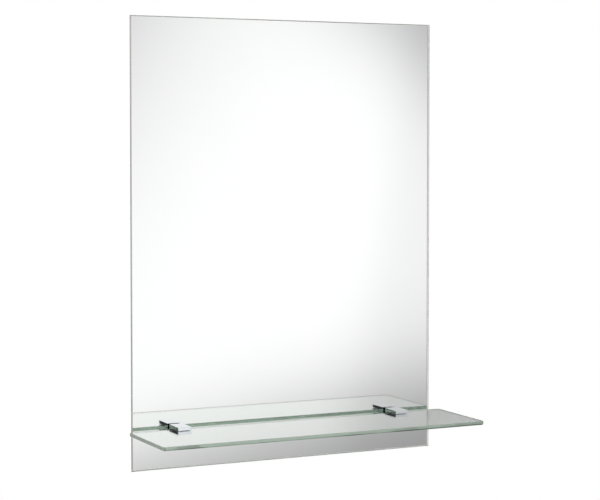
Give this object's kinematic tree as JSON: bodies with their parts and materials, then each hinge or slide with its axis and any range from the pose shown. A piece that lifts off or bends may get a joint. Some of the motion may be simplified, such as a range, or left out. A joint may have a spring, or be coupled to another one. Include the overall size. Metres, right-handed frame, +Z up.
{
  "type": "mirror with shelf",
  "caption": "Frameless rectangular wall mirror with a clear glass shelf held near its lower edge by small chrome clamps, hung on keyhole plates.",
  "frame": {"origin": "on the wall plane, midway between the round holes of the two keyholes in the hanger plates", "axes": "+X to the right along the mirror as seen by someone standing in front of it, +Y into the wall, +Z up; the mirror faces -Y"},
  "size_m": [0.468, 0.1471, 0.6],
  "materials": {
    "mirror_glass": "polished, with a faint green cast at the edges",
    "mirror_silver": "silvered front seen through the glass, grey protective paint behind",
    "shelf_glass": "clear, polished, green at the edges",
    "chrome": "bright polished",
    "soft_liner": "matt, slightly translucent",
    "black_rubber": "matt",
    "socket_screw_steel": "plain steel",
    "nylon": "natural white",
    "zinc_steel": "bright zinc plated",
    "galvanised_steel": "galvanised sheet",
    "foam_tape": "closed-cell foam"
  },
  "bodies": {
    "root": {"mirror_glass": "mirror_glass", "mirror_backing": "mirror_silver", "shelf_glass": "shelf_glass", "clamp_body_left": "chrome", "clamp_body_right": "chrome", "upper_liner_left": "soft_liner", "upper_liner_right": "soft_liner", "lower_liner_left": "soft_liner", "lower_liner_right": "soft_liner", "grub_screw_left": "socket_screw_steel", "grub_screw_right": "socket_screw_steel", "front_gasket_left": "black_rubber", "front_gasket_right": "black_rubber", "hole_sleeve_left": "nylon", "hole_sleeve_right": "nylon", "rear_gasket_left": "black_rubber", "rear_gasket_right": "black_rubber", "steel_washer_left": "zinc_steel", "steel_washer_right": "zinc_steel", "clamp_screw_left": "zinc_steel", "clamp_screw_right": "zinc_steel", "hanger_plate_left": "galvanised_steel", "hanger_plate_right": "galvanised_steel", "hanger_tape_left": "foam_tape", "hanger_tape_right": "foam_tape", "wall_bumper_left": "black_rubber", "wall_bumper_right": "black_rubber"}
  },
  "joints": []
}
